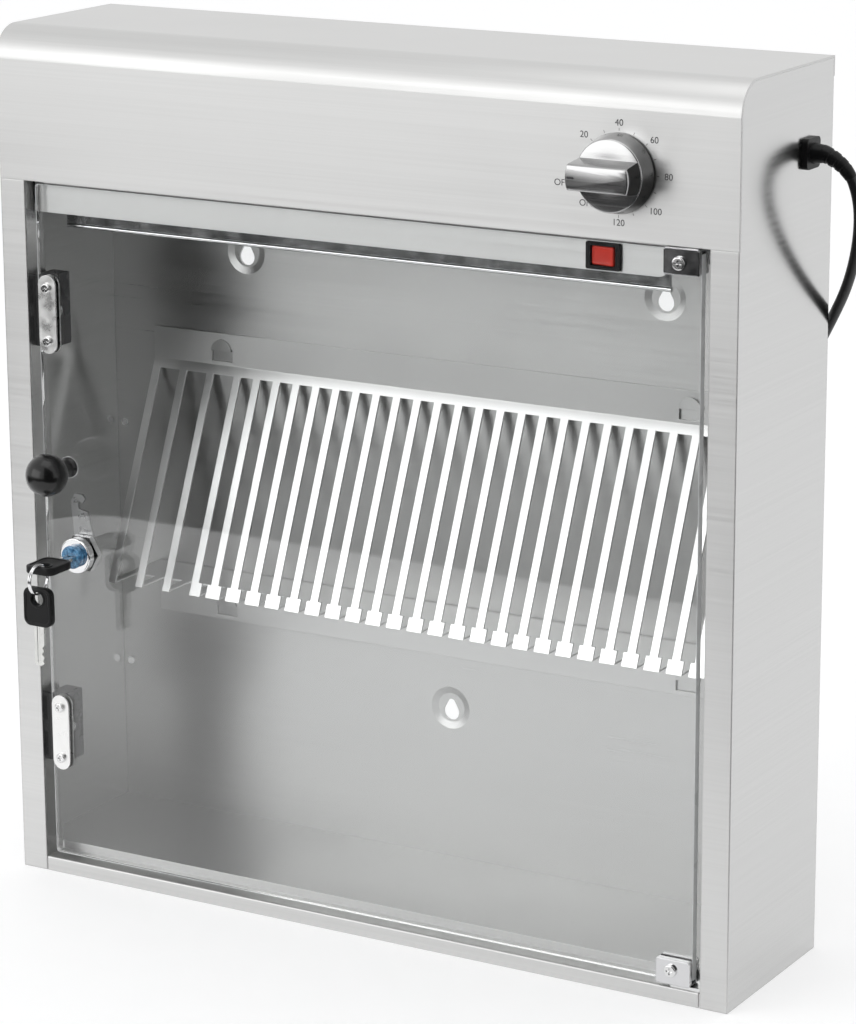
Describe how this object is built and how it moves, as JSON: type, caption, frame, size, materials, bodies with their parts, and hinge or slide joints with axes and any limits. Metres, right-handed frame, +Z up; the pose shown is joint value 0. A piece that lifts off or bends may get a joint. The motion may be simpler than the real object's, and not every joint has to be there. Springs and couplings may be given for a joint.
{
  "type": "ultraviolet knife sterilizer cabinet",
  "caption": "Shallow stainless wall cabinet with a clear hinged locking door, a sloping slotted knife rack, and a hood with a timer knob and an ultraviolet lamp.",
  "frame": {"origin": "centre of the cabinet's footprint, in the plane of its lower edges", "axes": "+X to the right seen from the front, +Y to the wall behind, +Z up"},
  "size_m": [0.5422, 0.331, 0.55],
  "materials": {
    "stainless": "brushed stainless sheet",
    "bright_steel": "bright zinc plated steel",
    "chrome": "polished chrome plate",
    "polished_aluminium": "polished",
    "galvanised": "galvanised sheet",
    "lamp_glass": "clear quartz glass",
    "white_plastic": "moulded white",
    "painted_steel": "black lacquered steel",
    "wire_cover": "soft wire insulation",
    "black_plastic": "moulded black",
    "key_steel": "nickel plated",
    "magnet": "dark ferrite",
    "bush_plastic": "white acetal",
    "clear_acrylic": "clear with polished edges",
    "blue_plastic": "moulded blue",
    "red_lens": "red lens",
    "cord_rubber": "black flexible sheath",
    "brass": "bright pins"
  },
  "bodies": {
    "cabinet": {"hood": "stainless", "left_side_panel": "stainless", "right_side_panel": "stainless", "back_panel": "stainless", "bottom_panel": "stainless", "cabinet_screws": "bright_steel", "casing_rivets": "bright_steel", "lamp_shroud": "stainless", "reflector": "polished_aluminium", "reflector_straps": "polished_aluminium", "uv_tube": "lamp_glass", "lamp_end_caps": "polished_aluminium", "lampholders": "white_plastic", "lampholder_brackets": "galvanised", "ballast": "painted_steel", "starter": "polished_aluminium", "starter_base": "white_plastic", "terminal_block": "white_plastic", "electrics_screws": "bright_steel", "internal_wiring": "wire_cover", "timer_body": "white_plastic", "timer_screws": "bright_steel", "switch_housing": "black_plastic", "hinge_bushes": "bush_plastic", "lower_hinge_bracket": "bright_steel", "magnetic_catches": "black_plastic", "catch_magnets": "magnet", "strain_relief": "black_plastic", "mains_cord": "cord_rubber", "cord_coil": "cord_rubber", "cord_tie": "black_plastic", "mains_plug": "black_plastic", "plug_pins": "brass"},
    "door": {"door_pane": "clear_acrylic", "upper_hinge_clamp": "chrome", "lower_hinge_clamp": "chrome", "hinge_pins": "bright_steel", "hinge_clamp_screws": "bright_steel", "outer_strike_plates": "bright_steel", "inner_strike_plates": "bright_steel", "strike_plate_screws": "bright_steel", "door_knob": "black_plastic", "door_knob_washer": "bright_steel", "door_knob_screw": "bright_steel", "lock_barrel": "chrome", "lock_nut": "chrome"},
    "lock_cylinder": {"lock_plug": "chrome", "lock_face": "blue_plastic", "hook_cam": "chrome", "cam_screw": "bright_steel"},
    "key": {"key_blade": "key_steel", "key_head": "black_plastic"},
    "ring": {"key_ring": "chrome"},
    "spare_key": {"spare_key_blade": "key_steel", "spare_key_head": "black_plastic"},
    "timer_dial": {"timer_knob": "chrome", "timer_shaft": "bright_steel"},
    "switch": {"switch_rocker": "red_lens"},
    "rack": {"knife_rack": "stainless"}
  },
  "joints": [
    {"name": "door_hinge", "type": "hinge", "parent": "cabinet", "child": "door", "pos_m": [0.226, -0.0565, 0], "axis": [0, 0, 1], "range_deg": [0, 115]},
    {"name": "lock_turn", "type": "hinge", "parent": "door", "child": "lock_cylinder", "pos_m": [-0.205, 0, 0.2175], "axis": [0, -1, 0], "range_deg": [0, 90]},
    {"name": "key_pull", "type": "slide", "parent": "lock_cylinder", "child": "key", "axis": [0, -1, 0], "range_m": [0, 0.028]},
    {"name": "ring_swing", "type": "hinge", "parent": "key", "child": "ring", "pos_m": [-0.205, -0.103, 0.2175], "axis": [1, 0, 0], "range_deg": [-80, 4]},
    {"name": "spare_key_swing", "type": "hinge", "parent": "ring", "child": "spare_key", "pos_m": [-0.205, -0.103, 0.2025], "axis": [0, 1, 0], "range_deg": [-40, 40]},
    {"name": "timer_turn", "type": "hinge", "parent": "cabinet", "child": "timer_dial", "pos_m": [0.179, 0, 0.4935], "axis": [0, 1, 0], "range_deg": [-40, 270]},
    {"name": "switch_rock", "type": "hinge", "parent": "cabinet", "child": "switch", "pos_m": [0.166, -0.0493, 0.4436], "axis": [0, 0, 1], "range_deg": [0, 14]},
    {"name": "rack_lift", "type": "slide", "parent": "cabinet", "child": "rack", "axis": [0, 0, 1], "range_m": [0, 0.0067]}
  ]
}
